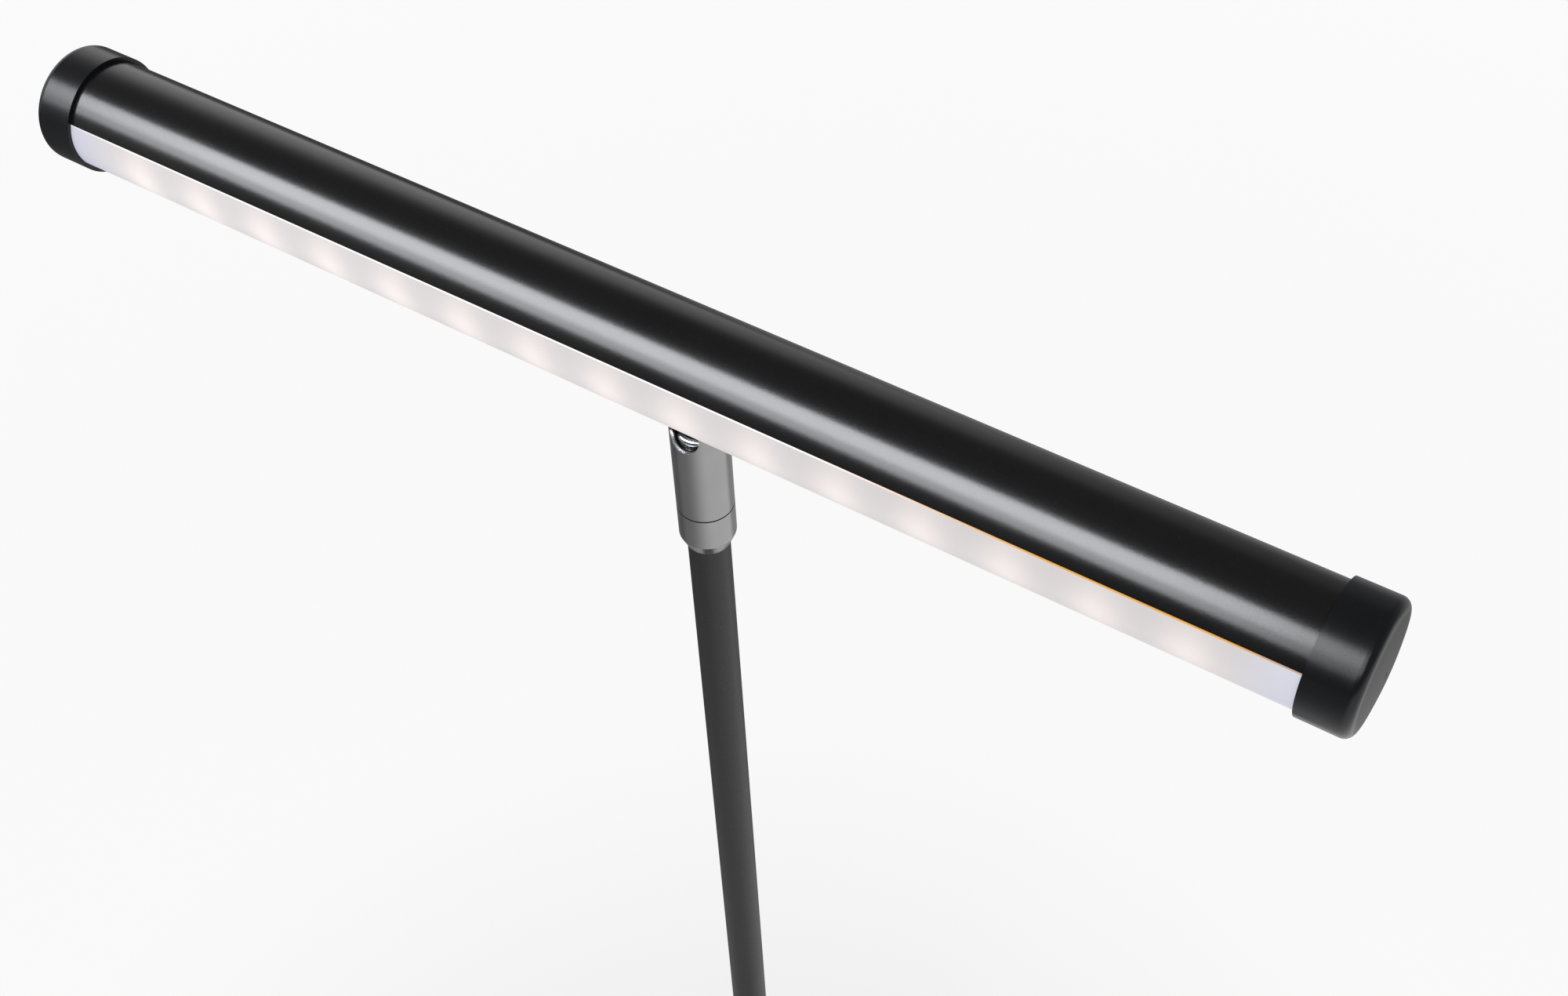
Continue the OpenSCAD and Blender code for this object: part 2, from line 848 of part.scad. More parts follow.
module weight_outline() {
    in_l = base_l - 2 * (cover_wall + weight_gap);
    in_w = base_w - 2 * (cover_wall + weight_gap);
    pocket_l = drive_l + 2 * drive_margin;
    pocket_front = drive_y - drive_w / 2 - drive_margin;
    knob_pocket = dimmer_w + 2 * drive_margin;
    difference() {
        rounded_rect(in_l, in_w, base_corner - cover_wall - weight_gap);
        at_base_corners() circle(corner_boss_r + weight_gap);
        translate([0, pole_back]) circle(nut_pocket_r);
        translate([drive_x - pocket_l / 2, pocket_front]) square([pocket_l, base_w]);
        translate([-drive_left, pole_back - channel_w / 2]) square([drive_left, channel_w]);
        translate([knob_right, -knob_forward]) square(knob_pocket, center = true);
        translate([channel_turn_x - channel_w / 2, -knob_forward - channel_w / 2])
            square([knob_right - channel_turn_x, channel_w]);
        translate([channel_turn_x - channel_w / 2, -knob_forward - channel_w / 2])
            square([channel_w, pocket_front + knob_forward + channel_w]);
    }
}

module base_weight() {
    color(iron) translate([0, 0, plate_top_z]) linear_extrude(weight_t) weight_outline();
}

module base_plate() {
    gap = cover_wall + loose_gap;
    color(steel) translate([0, 0, pad_t]) difference() {
        linear_extrude(plate_t)
            rounded_rect(base_l - 2 * gap, base_w - 2 * gap, base_corner - gap);
        at_base_corners() translate([0, 0, -overrun])
            cylinder(r = base_screw_r + seat_gap, h = plate_t + 2 * overrun);
        at_base_corners() base_screw_head(seat_gap);
    }
}

module base_screw_head(grow) {
    cylinder(r1 = base_screw_head_r + grow, r2 = base_screw_r + grow, h = base_screw_head_t);
}

module felt_pad() {
    color(rubber) linear_extrude(pad_t)
        rounded_rect(base_l - 2 * felt_inset, base_w - 2 * felt_inset, base_corner - felt_inset);
}

module base_screws() {
    color(steel) translate([0, 0, pad_t]) at_base_corners() {
        base_screw_head(0);
        cylinder(r = base_screw_r, h = base_screw_l);
    }
}

module nipple_washer() {
    color(steel) at_pole(cover_in_z - nut_washer_t)
        tube_shape(nut_washer_r, nipple_r + seat_gap, nut_washer_t);
}

module nipple_nut() {
    color(brass) at_pole(cover_in_z - nut_washer_t - nut_t) difference() {
        hexagon(nut_flats, nut_t);
        translate([0, 0, -overrun]) cylinder(r = nipple_r + run_gap, h = nut_t + 2 * overrun);
    }
}

module driver_board() {
    color(board_green) translate([drive_x, drive_y, drive_top_z - drive_t / 2])
        cube([drive_l, drive_w, drive_t], center = true);
}

module board_parts() {
    color(rubber) translate([drive_x, drive_y, drive_top_z]) {
        translate([part_step, -part_step, 0]) cylinder(r = can_r, h = can_h);
        translate([-part_step / 2, -part_step, pack_h / 2])
            cube([pack_l, pack_w, pack_h], center = true);
        translate([part_step / 2, part_step, coil_h / 2])
            cube([coil_w, coil_w, coil_h], center = true);
    }
}

module board_pillars() {
    color(steel) at_drive_corners() translate([0, 0, plate_top_z])
        cylinder(r = pillar_r, h = pillar_h);
}

module power_inlet() {
    color(rubber) difference() {
        union() {
            translate([inlet_x - inlet_w / 2, inlet_back_y - inlet_l, drive_top_z])
                cube([inlet_w, inlet_l, inlet_h]);
            translate([inlet_x, base_w / 2, inlet_z]) rotate([90, 0, 0])
                cylinder(r = inlet_nose_r, h = inlet_l);
        }
        translate([inlet_x, base_w / 2 + overrun, inlet_z]) rotate([90, 0, 0])
            cylinder(r = inlet_bore_r, h = inlet_bore_l + overrun);
    }
}

module inlet_pin() {
    color(steel) translate([inlet_x, base_w / 2 - inlet_pin_recess, inlet_z])
        rotate([90, 0, 0]) cylinder(r = inlet_pin_r, h = inlet_bore_l - inlet_pin_recess);
}

// Dimmer

module dimmer_body() {
    bore_r = spindle_r + run_gap;
    color(steel) at_knob(dimmer_low_z) difference() {
        union() {
            translate([-dimmer_w / 2, -dimmer_w / 2, 0]) cube([dimmer_w, dimmer_w, dimmer_h]);
            cylinder(r = bush_r, h = dimmer_h + cover_top_t + bush_l);
        }
        translate([0, 0, dimmer_floor])
            cylinder(r = bore_r, h = dimmer_h + cover_top_t + bush_l);
    }
}

module dimmer_nut() {
    color(steel) at_knob(base_h) difference() {
        hexagon(dimmer_nut_flats, dimmer_nut_t);
        translate([0, 0, -overrun]) cylinder(r = bush_r + run_gap, h = dimmer_nut_t + 2 * overrun);
    }
}

module dimmer_lead() {
    lead_z = drive_top_z + control_lead_r + run_gap;
    rest_y = drive_y - drive_w / 2 + lead_rest / 2;
    run_x = knob_right - channel_turn_x;
    color(rubber) {
        at_knob(lead_z) {
            cylinder(r = control_lead_r, h = dimmer_low_z - lead_z);
            sphere(control_lead_r);
            rotate([0, -90, 0]) cylinder(r = control_lead_r, h = run_x);
        }
        translate([channel_turn_x, -knob_forward, lead_z]) {
            sphere(control_lead_r);
            rotate([-90, 0, 0]) cylinder(r = control_lead_r, h = rest_y + knob_forward);
        }
    }
}

module switch_plunger() {
    color(rubber) at_knob(plunger_z) cylinder(r = spindle_r, h = plunger_t);
}

// The spindle's end with its flat side
module spindle_shape(radius, height) {
    intersection() {
        cylinder(r = radius, h = height);
        translate([-radius, -radius, 0]) cube([2 * radius, 2 * radius - spindle_flat, height]);
    }
}

module dimmer_spindle() {
    flat_z = knob_z + knob_recess_h;
    color(steel) {
        at_knob(spindle_low_z) cylinder(r = spindle_r, h = flat_z - spindle_low_z);
        at_knob(flat_z) spindle_shape(spindle_r, spindle_top_z - flat_z);
    }
}

module dimmer_knob() {
    color(satin_black) at_knob(knob_z) difference() {
        rotate_extrude() puck_section(knob_r, knob_h, knob_round);
        translate([0, 0, -overrun]) cylinder(r = knob_recess_r, h = knob_recess_h + overrun);
        translate([0, 0, knob_recess_h - seat_gap])
            spindle_shape(spindle_r + run_gap, knob_h - knob_roof_t - knob_recess_h + seat_gap);
        for (i = [0 : knob_flutes - 1]) rotate(i * 360 / knob_flutes)
            translate([knob_r, 0, -overrun]) cylinder(r = flute_r, h = knob_h - flute_stop + overrun);
        translate([-mark_w / 2, knob_r - knob_round - mark_l, knob_h - mark_depth])
            cube([mark_w, mark_l, mark_depth + overrun]);
    }
}

head_tube();
diffuser();
left_end_cap();
right_end_cap();
led_board();
led_chips();
clamp_strip();
bracket();
bracket_screws();
head_lead();
swivel_neck();
neck_nut();
neck_clip();
swivel_ball();
swivel_body();
ball_seat();
seat_springs();
swivel_collar();
collar_clip();
top_nipple();
pole_top_plug();
pole();
pole_bottom_plug();
bottom_nipple();
pole_lead();
pole_socket();
base_cover();
base_weight();
base_plate();
felt_pad();
base_screws();
nipple_washer();
nipple_nut();
driver_board();
board_parts();
board_pillars();
power_inlet();
inlet_pin();
dimmer_body();
dimmer_nut();
dimmer_lead();
switch_plunger();
dimmer_spindle();
dimmer_knob();
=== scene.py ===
import json
import math
import bpy
import bmesh
import numpy as np
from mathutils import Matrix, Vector


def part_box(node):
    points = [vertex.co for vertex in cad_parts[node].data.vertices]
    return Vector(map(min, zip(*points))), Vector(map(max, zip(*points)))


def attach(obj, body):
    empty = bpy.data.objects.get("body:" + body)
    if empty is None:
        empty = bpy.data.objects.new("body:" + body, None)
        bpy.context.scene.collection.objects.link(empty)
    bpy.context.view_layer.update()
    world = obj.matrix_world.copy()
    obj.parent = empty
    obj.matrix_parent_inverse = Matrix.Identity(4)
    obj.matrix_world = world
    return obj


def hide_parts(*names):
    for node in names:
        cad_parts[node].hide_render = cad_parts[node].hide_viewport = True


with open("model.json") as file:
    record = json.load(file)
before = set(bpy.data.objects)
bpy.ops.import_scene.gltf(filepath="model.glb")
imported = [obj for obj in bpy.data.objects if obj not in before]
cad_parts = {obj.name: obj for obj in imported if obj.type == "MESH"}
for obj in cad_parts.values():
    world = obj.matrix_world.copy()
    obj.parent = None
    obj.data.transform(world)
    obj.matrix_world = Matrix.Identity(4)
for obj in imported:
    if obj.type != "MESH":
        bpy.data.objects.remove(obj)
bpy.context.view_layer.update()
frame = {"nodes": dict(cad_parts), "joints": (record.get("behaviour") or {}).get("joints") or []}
nodes = frame["nodes"]
print("frame loaded:", len(nodes), "nodes")

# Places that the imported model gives: the ball's centre, the pole's axis, the shell and the bar's end
ballCentre = next(joint["pos_m"] for joint in frame["joints"] if joint["name"] == "neck_tilt")
poleAxis = (ballCentre[0], ballCentre[1], 0)
shellLow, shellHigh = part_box("swivel_body")
capLow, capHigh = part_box("right_end_cap")


# One socket of a material that takes part in ordinary sums: each operator adds its Math node
class Reading:
    def __init__(self, finish, socket):
        self.finish = finish
        self.socket = socket

    def out(self, name):  # another output of the same node, by name or by number
        return Reading(self.finish, self.socket.node.outputs[name])

    def maths(self, operation, *others):
        values = dict(enumerate((self,) + others))
        return self.finish.node("ShaderNodeMath", {"operation": operation}, values)

    def after(self, operation, other):  # the reflected forms, with the plain number first
        return self.finish.node("ShaderNodeMath", {"operation": operation}, {0: other, 1: self})

    def spread(self, width):  # a noise from 0 to 1, moved to lie evenly about 0 over that width
        return (self - 0.5) * width

    def __add__(self, other):
        return self.maths("ADD", other)

    def __radd__(self, other):
        return self.after("ADD", other)

    def __sub__(self, other):
        return self.maths("SUBTRACT", other)

    def __rsub__(self, other):
        return self.after("SUBTRACT", other)

    def __mul__(self, other):
        return self.maths("MULTIPLY", other)

    def __rmul__(self, other):
        return self.after("MULTIPLY", other)

    def __truediv__(self, other):
        return self.maths("DIVIDE", other)

    def __rtruediv__(self, other):
        return self.after("DIVIDE", other)

    def __neg__(self):
        return self.maths("MULTIPLY", -1)

    def __abs__(self):
        return self.maths("ABSOLUTE")


# A material or the world under construction: node() makes any node, the others make common ones
class Finish:
    def __init__(self, owner):
        self.owner = owner
        owner.use_nodes = True
        self.tree = owner.node_tree
        self.tree.nodes.clear()

    # The settings come first, then the numbers, colours or links of the inputs, by name or number
    def node(self, kind, settings=None, values=None):
        made = self.tree.nodes.new(kind)
        for name, value in (settings or {}).items():
            setattr(made, name, value)
        for name, value in (values or {}).items():
            socket = made.inputs[name]
            if isinstance(value, Reading):
                self.tree.links.new(value.socket, socket)
            elif socket.type == "RGBA":
                socket.default_value = (*value, 1)
            else:
                socket.default_value = value
        return Reading(self, made.outputs[0]) if made.outputs else None

    def place(self):  # the piece's own coordinates, in metres
        return self.node("ShaderNodeTexCoord").out("Object")

    def axes(self):  # x, y and z of the place
        split = self.node("ShaderNodeSeparateXYZ", {}, {"Vector": self.place()})
        return split, split.out("Y"), split.out("Z")

    def reach(self, x, y):  # the distance from an upright axis, the root of x and y squared and added
        return (x * x + y * y).maths("SQRT")

    def stretched(self, stretch, centre=(0, 0, 0)):  # the place from a centre, times a stretch per axis
        moved = self.node("ShaderNodeVectorMath", {"operation": "SUBTRACT"},
                          {0: self.place(), 1: centre})
        return self.node("ShaderNodeVectorMath", {"operation": "MULTIPLY"}, {0: moved, 1: stretch})

    def noise(self, size, detail=2, where=None, rough=0.5):  # 0 to 1, with lumps of the given size
        return self.node("ShaderNodeTexNoise", {}, {
            "Vector": where or self.place(), "Scale": 1 / size, "Detail": detail,
            "Roughness": rough})

    def between(self, reading, low, high):  # 0 up to low, 1 from high on, either way round
        return self.node("ShaderNodeMapRange", {"interpolation_type": "SMOOTHSTEP"}, {
            "Value": reading, "From Min": low, "From Max": high})

    def mix(self, factor, a, b):  # colour a where the factor is 0, b where it is 1
        return self.node("ShaderNodeMix", {"data_type": "RGBA"}, {0: factor, 6: a, 7: b}).out(2)

    def shade(self, colour, share):  # a colour made darker, by a share for each of its parts
        return self.node("ShaderNodeMix", {"data_type": "RGBA", "blend_type": "MULTIPLY"},
                         {0: 1.0, 6: colour, 7: share}).out(2)

    def bump(self, height, depth):
        return self.node("ShaderNodeBump", {}, {"Height": height, "Distance": depth})

    def surface(self, values):
        shader = self.node("ShaderNodeBsdfPrincipled", {}, values)
        self.node("ShaderNodeOutputMaterial", {}, {"Surface": shader})
        return self.owner


def newFinish(name):
    return Finish(bpy.data.materials.new(name))


def dress(material, *names):
    for name in names:
        for holder in nodes[name].material_slots:
            holder.material = material


# Satin black coats: a near-black base, a soft cloud in the sheen, a fine grain and a few pale specks
specks = {"grains": 1.7, "rare": (0.70, 0.78)}  # a speck's size in grains, and where its noise shows


def blackCoat(name, look):
    f = newFinish(name)
    cloud = f.noise(look["cloud"], detail=3)
    grain = f.noise(look["grain"], detail=3, where=f.stretched(look["stretch"]))
    peel = f.noise(look["peel"], detail=1)
    speckNoise = f.noise(look["grain"] * specks["grains"], detail=1)
    colour = f.mix(cloud, look["dark"], look["pale"])
    colour = f.mix(f.between(speckNoise, *specks["rare"]) * look["specks"], colour, look["speck"])
    sheen = look["rough"] + cloud.spread(look["roughSpread"]) + grain.spread(look["grainRough"])
    if "faceInset" in look:  # the bar's flat end faces have a finer, duller texture
        face = f.between(abs(f.axes()[0]), *(capHigh[0] - inset for inset in look["faceInset"]))
        sheen = sheen + face * look["faceRough"]
    return f.surface({
        "Base Color": colour, "Roughness": sheen, "Specular IOR Level": look["gloss"],
        "Normal": f.bump(grain + peel * look["peelShare"], look["depth"])})


anodised = {
    "dark": (0.006, 0.006, 0.0065), "pale": (0.009, 0.009, 0.0095), "speck": (0.03, 0.03, 0.032),
    "cloud": 0.03, "grain": 0.00032, "stretch": (0.55, 1, 1), "peel": 0.0011, "peelShare": 0.5,
    "specks": 0.5, "rough": 0.215, "roughSpread": 0.04, "grainRough": 0.08, "depth": 0.000008,
    "gloss": 0.45,
}
moulded = {
    "dark": (0.006, 0.0063, 0.0082), "pale": (0.009, 0.0095, 0.0125), "speck": (0.03, 0.03, 0.03),
    "cloud": 0.016, "grain": 0.0003, "stretch": (1, 1, 1), "peel": 0.0009, "peelShare": 0.25,
    "specks": 0.35, "rough": 0.25, "roughSpread": 0.04, "grainRough": 0.08, "depth": 0.000006,
    "gloss": 0.32, "faceInset": (0.0012, 0.0008), "faceRough": 0.175,
}
cast = {
    "dark": (0.006, 0.006, 0.0065), "pale": (0.010, 0.010, 0.0105), "speck": (0.035, 0.035, 0.036),
    "cloud": 0.01, "grain": 0.00045, "stretch": (1, 1, 1), "peel": 0.0009, "peelShare": 0.8,
    "specks": 0.5, "rough": 0.31, "roughSpread": 0.05, "grainRough": 0.14, "depth": 0.000016,
    "gloss": 0.45,
}
powder = {
    "dark": (0.008, 0.008, 0.0085), "pale": (0.013, 0.013, 0.0135), "speck": (0.04, 0.04, 0.041),
    "cloud": 0.045, "grain": 0.00055, "stretch": (1, 1, 1), "peel": 0.0016, "peelShare": 1.0,
    "specks": 0.5, "rough": 0.42, "roughSpread": 0.06, "grainRough": 0.16, "depth": 0.00003,
    "gloss": 0.45,
}
dress(blackCoat("black_anodised", anodised), "head_tube", "dimmer_knob")
dress(blackCoat("black_plastic", moulded), "left_end_cap", "right_end_cap", "board_parts",
      "power_inlet")
dress(blackCoat("bracket_paint", cast), "bracket")
dress(blackCoat("black_paint", powder), "pole", "pole_socket", "base_cover")
print("black coats done")


# The opal diffuser glows, with a warm spot over each light chip and a cooler end at each cap.
# Angles are in degrees round the bar, 0 to the front and rising to the top
diffuser = {
    "axisY": (capLow[1] + capHigh[1]) / 2, "axisZ": (capLow[2] + capHigh[2]) / 2,
    "windowMiddle": -20, "windowHalf": 43,
    "pitch": 0.0215, "count": 15, "spotWide": 0.0058, "spotAngle": -8, "spotSpread": 30,
    "spotStop": (-0.002, 0.001), "endFade": (-0.004, 0.012),  # both from where the chips end
    "between": (0.50, 0.47, 0.475), "spot": (0.74, 0.67, 0.65), "end": (0.355, 0.37, 0.455),
    "dim": (0.68, 0.67, 0.655), "dimAngles": (24, -16), "dimUp": 0.45,
    "dimAlong": (0.19, -0.19), "dimRight": 0.55,
    "whiteEdge": (0.80, 0.77, 0.75), "amberEdge": (0.78, 0.36, 0.04), "amberAlong": (0.045, 0.12),
    "edgeLow": 1.9, "edgeHigh": 1.1, "edgeFade": 0.6,  # the edge line, in degrees below the rim
    "body": (0.40, 0.39, 0.395), "paleBody": (0.43, 0.42, 0.425), "amberBody": (0.10, 0.04, 0.005),
    "frost": 0.0004, "depth": 0.00001, "rough": 0.42, "frostRough": 0.1, "gloss": 0.3,
    "strength": 1.0,
}


def opalPlastic(look):
    f = newFinish("opal_plastic")
    x, y, z = f.axes()
    angle = (z - look["axisZ"]).maths("ARCTAN2", look["axisY"] - y)
    # The distance along the bar to the nearest chip: the fraction of a step, folded about its middle
    step = (x / look["pitch"] + 0.5).maths("FRACT")
    along = abs(step - 0.5) * look["pitch"] / look["spotWide"]
    across = (angle - math.radians(look["spotAngle"])) / math.radians(look["spotSpread"])
    # A spot fades with the square of the distance, as e to the power of minus that square
    spot = (-(along * along + across * across)).maths("EXPONENT")
    lit = look["pitch"] * look["count"] / 2
    inside = 1 - f.between(abs(x), *(lit + stop for stop in look["spotStop"]))
    end = f.between(abs(x), *(lit + fade for fade in look["endFade"]))
    glow = f.mix(spot * inside, look["between"], look["spot"])
    # The strip is a little dimmer near its upper edge and towards the right
    low = f.between(angle, *(math.radians(turn) for turn in look["dimAngles"]))
    left = f.between(x, *look["dimAlong"])
    glow = f.mix(low * look["dimUp"] + left * look["dimRight"], f.shade(glow, look["dim"]), glow)
    glow = f.mix(end, glow, look["end"])
    # Light that runs along the cut edge beside the tube, white at the left and amber at the right
    rim = look["windowMiddle"] + look["windowHalf"]
    edge = f.between(angle, math.radians(rim - look["edgeLow"]), math.radians(rim - look["edgeHigh"]))
    amber = f.between(x, *look["amberAlong"])
    edgeColour = f.mix(amber, look["whiteEdge"], look["amberEdge"])
    glow = f.mix(edge * (1 - end * look["edgeFade"]), glow, edgeColour)
    frost = f.noise(look["frost"])
    body = f.mix(frost, look["body"], look["paleBody"])
    # Under the amber edge light the body's own colour is darkened to amber too, as painted amber light
    body = f.mix(edge * amber, body, look["amberBody"])
    return f.surface({
        "Base Color": body, "Emission Color": glow, "Emission Strength": look["strength"],
        "Roughness": look["rough"] + frost * look["frostRough"],
        "Normal": f.bump(frost, look["depth"]), "Specular IOR Level": look["gloss"]})


dress(opalPlastic(diffuser), "diffuser")
print("diffuser done")


# What all the metals share: hairline scratches, the dark seam, and painted shade in the bore and above
# a height
metalMarks = {
    "hair": 0.0011, "hairRough": 0.7, "scratchRare": (0.66, 0.70), "wornShare": 0.4,
    "cloudRough": 0.06, "scratchRough": 0.1, "scratchDepth": 0.6,
    "seamEdge": (0.00016, 0.00034), "seamColour": (0.02, 0.02, 0.02), "seamRough": 0.4,
    "boreSoft": 0.0003, "boreAbove": 0.002, "boreColour": (0.025, 0.02, 0.018), "boreRough": 0.3,
    "blackSoft": 0.0002, "blackColour": (0.012, 0.011, 0.011), "blackRough": 0.3,
}


# Turned or plated metal: fine rings round an axis, a soft cloud in the shine and hairline scratches
def turnedMetal(name, look, marks=metalMarks):
    f = newFinish(name)
    rings = f.noise(look["ring"], where=f.stretched(look["stretch"], poleAxis))
    cloud = f.noise(look["cloud"], detail=3)
    hair = f.noise(marks["hair"], detail=4, where=f.stretched(look["hair"]),
                   rough=marks["hairRough"])
    scratch = f.between(hair, *marks["scratchRare"]) * look["scratches"]
    colour = f.mix(cloud, look["dark"], look["pale"])
    colour = f.mix(scratch * marks["wornShare"], colour, look["worn"])
    sheen = look["rough"] + rings.spread(look["ringRough"]) + cloud.spread(marks["cloudRough"])
    sheen = sheen + scratch * marks["scratchRough"]
    if "seam" in look:  # the dark line where two pieces meet, at one height
        x, y, z = f.axes()
        line = 1 - f.between(abs(z - look["seam"]), *marks["seamEdge"])
        colour = f.mix(line, colour, marks["seamColour"])
        sheen = sheen + line * marks["seamRough"]
        # The bore is painted dark as shade inside it, from a little above the seam
        bore = f.between(f.reach(x - poleAxis[0], y - poleAxis[1]),
                         look["boreRadius"], look["boreRadius"] + marks["boreSoft"])
        paintedBoreShade = (1 - bore) * f.between(z, look["seam"], look["seam"] + marks["boreAbove"])
        colour = f.mix(paintedBoreShade, colour, marks["boreColour"])
        sheen = sheen + paintedBoreShade * marks["boreRough"]
    if "blackAbove" in look:  # painted shade, darkened above a height
        black = f.between(f.axes()[2], look["blackAbove"] - marks["blackSoft"],
                          look["blackAbove"] + marks["blackSoft"])
        colour = f.mix(black, colour, marks["blackColour"])
        sheen = sheen + black * marks["blackRough"]
    return f.surface({
        "Base Color": colour, "Metallic": 1.0, "Roughness": sheen,
        "Normal": f.bump(rings - scratch * marks["scratchDepth"], look["depth"])})


blackNickel = {
    "dark": (0.33, 0.33, 0.332), "pale": (0.39, 0.39, 0.39), "worn": (0.50, 0.49, 0.48),
    "stretch": (0.05, 0.05, 3), "ring": 0.0006, "cloud": 0.012, "hair": (1, 1, 0.06),
    "scratches": 0.35, "rough": 0.24, "ringRough": 0.10, "depth": 0.000006,
    "seam": shellLow[2], "boreRadius": 0.0069,
}
nickel = {
    "dark": (0.50, 0.455, 0.40), "pale": (0.60, 0.55, 0.49), "worn": (0.70, 0.66, 0.60),
    "stretch": (1, 1, 2), "ring": 0.0005, "cloud": 0.006, "hair": (1, 0.2, 1),
    "scratches": 0.5, "rough": 0.22, "ringRough": 0.12, "depth": 0.000006,
}
polished = {
    "dark": (0.36, 0.365, 0.37), "pale": (0.46, 0.465, 0.47), "worn": (0.6, 0.6, 0.6),
    "stretch": (1, 1, 2), "ring": 0.0006, "cloud": 0.008, "hair": (1, 1, 0.2),
    "scratches": 0.3, "rough": 0.12, "ringRough": 0.05, "depth": 0.000003,
}
bright = {
    "dark": (0.50, 0.50, 0.51), "pale": (0.60, 0.60, 0.61), "worn": (0.72, 0.72, 0.72),
    "stretch": (0.3, 0.3, 2), "ring": 0.0005, "cloud": 0.01, "hair": (1, 0.15, 1),
    "scratches": 0.5, "rough": 0.30, "ringRough": 0.14, "depth": 0.000008,
}
plainBrass = {
    "dark": (0.58, 0.44, 0.20), "pale": (0.68, 0.54, 0.28), "worn": (0.78, 0.66, 0.40),
    "stretch": (0.4, 0.4, 2), "ring": 0.0004, "cloud": 0.004, "hair": (1, 0.15, 1),
    "scratches": 0.5, "rough": 0.30, "ringRough": 0.12, "depth": 0.000006,
}
blackNickelMetal = turnedMetal("black_nickel", blackNickel)
dress(blackNickelMetal, "swivel_collar")
dress(turnedMetal("nickel", nickel), "bracket_screws", "swivel_neck", "neck_nut", "inlet_pin",
      "dimmer_nut")
dress(turnedMetal("polished_steel", polished), "swivel_ball")
dress(turnedMetal("steel", bright), "clamp_strip", "neck_clip", "seat_springs", "collar_clip",
      "top_nipple", "pole_top_plug", "pole_bottom_plug", "bottom_nipple", "base_plate",
      "base_screws", "nipple_washer", "board_pillars", "dimmer_body", "dimmer_spindle")
dress(turnedMetal("brass", plainBrass), "nipple_nut")
print("metals done")


# A new piece from corner points and faces, with doubled corners joined and the faces pointing outwards
def makePiece(name, points, faces, material):
    doubled = 0.000004  # corners that are nearer than this are one
    mesh = bpy.data.meshes.new(name)
    mesh.from_pydata(points.reshape(-1, 3).tolist(), [], faces.reshape(-1, 4).tolist())
    skin = bmesh.new()
    skin.from_mesh(mesh)
    bmesh.ops.remove_doubles(skin, verts=skin.verts, dist=doubled)
    bmesh.ops.recalc_face_normals(skin, faces=skin.faces)
    skin.to_mesh(mesh)
    skin.free()
    mesh.polygons.foreach_set("use_smooth", np.ones(len(mesh.polygons), bool))
    mesh.materials.append(material)
    piece = bpy.data.objects.new(name, mesh)
    bpy.context.scene.collection.objects.link(piece)
    return piece


def softenEdges(piece, look):  # a small round on every edge that is sharper than the limit
    soft = piece.modifiers.new("edges", "BEVEL")
    soft.width = look["edge"]
    soft.segments = look["edgeSteps"]
    soft.limit_method = "ANGLE"
    soft.angle_limit = math.radians(look["edgeLimit"])
    soft.harden_normals = True


# Quads between the rows of a grid of corner numbers, whose last column joins the first
def gridFaces(numbers):
    beside = np.roll(numbers, -1, axis=1)
    return np.stack([numbers[:-1], beside[:-1], beside[1:], numbers[1:]], axis=-1)


# Corners at a radius, an angle and a height round the upright axis through the ball's centre
def turned(radius, angle, height):
    return np.stack([radius * np.cos(angle), radius * np.sin(angle), height + angle * 0], axis=-1)


# The swivel's shell, with a deep slot for the neck. Heights are from the ball's centre
shell = {
    "radius": shellHigh[0], "bore": 0.0065, "length": ballCentre[2] - shellLow[2],
    "slotHalf": 0.0045, "slotBottom": -0.0109, "edge": 0.00022, "edgeSteps": 2, "edgeLimit": 38,
    "plainRows": 12, "roundRows": 14, "straightRows": 5, "domeRows": 16, "columns": 120,
}


def swivelShell(look):
    half = look["slotHalf"]
    slotCentre = look["slotBottom"] + half
    # Rows from below: plain tube, round end of the slot, straight slot, dome. Each but the first
    # leaves out its lowest row, which the one below it has
    plain = np.linspace(-look["length"], look["slotBottom"], look["plainRows"])
    turn = np.linspace(0, np.pi / 2, look["roundRows"] + 1)[1:]
    straight = np.linspace(slotCentre, 0, look["straightRows"] + 1)[1:]
    dome = np.linspace(0, 1, look["domeRows"] + 1)[1:]
    height = np.concatenate([plain, slotCentre - half * np.cos(turn), straight])
    width = np.concatenate([plain * 0, half * np.sin(turn), straight * 0 + half, dome * 0 + half])
    share = np.linspace(0, 1, look["columns"])
    walls = []
    # Each wall is a circle of its radius, less above the centre, where it follows a ball. Its ends
    # are where the slot's flat sides cut it, at the angle whose sine is half the width over the radius
    for size in (look["radius"], look["bore"]):
        climb = dome * math.acos(half / size)
        z = np.concatenate([height, size * np.sin(climb)])[:, None]
        r = np.concatenate([height * 0 + size, size * np.cos(climb)])[:, None]
        gap = np.arcsin(np.clip(width[:, None] / r, 0, 1))
        walls.append(turned(r, gap - np.pi / 2 + share * (2 * np.pi - 2 * gap), z))
    # Out along the outer wall and back along the inner one, so that the faces that join the two are
    # the slot's sides. Below the slot those would lie inside the metal, and are left out
    points = np.concatenate([walls[0], walls[1][:, ::-1]], axis=1) + ballCentre
    rows, columns = points.shape[:2]
    numbers = np.arange(rows * columns).reshape(rows, columns)
    inMetal = np.zeros((rows - 1, columns), bool)
    inMetal[:len(plain) - 1, [columns // 2 - 1, columns - 1]] = True
    # The lowest and the highest row are closed from the outer wall to the inner one
    outer = numbers[:, :columns // 2]
    inner = numbers[:, ::-1][:, :columns // 2]
    ends = [np.stack([outer[row, :-1], inner[row, :-1], inner[row, 1:], outer[row, 1:]], axis=-1)
            for row in (0, rows - 1)]
    faces = np.concatenate([gridFaces(numbers)[~inMetal], *ends])
    return makePiece("swivel_shell", points, faces, blackNickelMetal)


swivelPiece = swivelShell(shell)
softenEdges(swivelPiece, shell)
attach(swivelPiece, "swivel")
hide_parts("swivel_body")
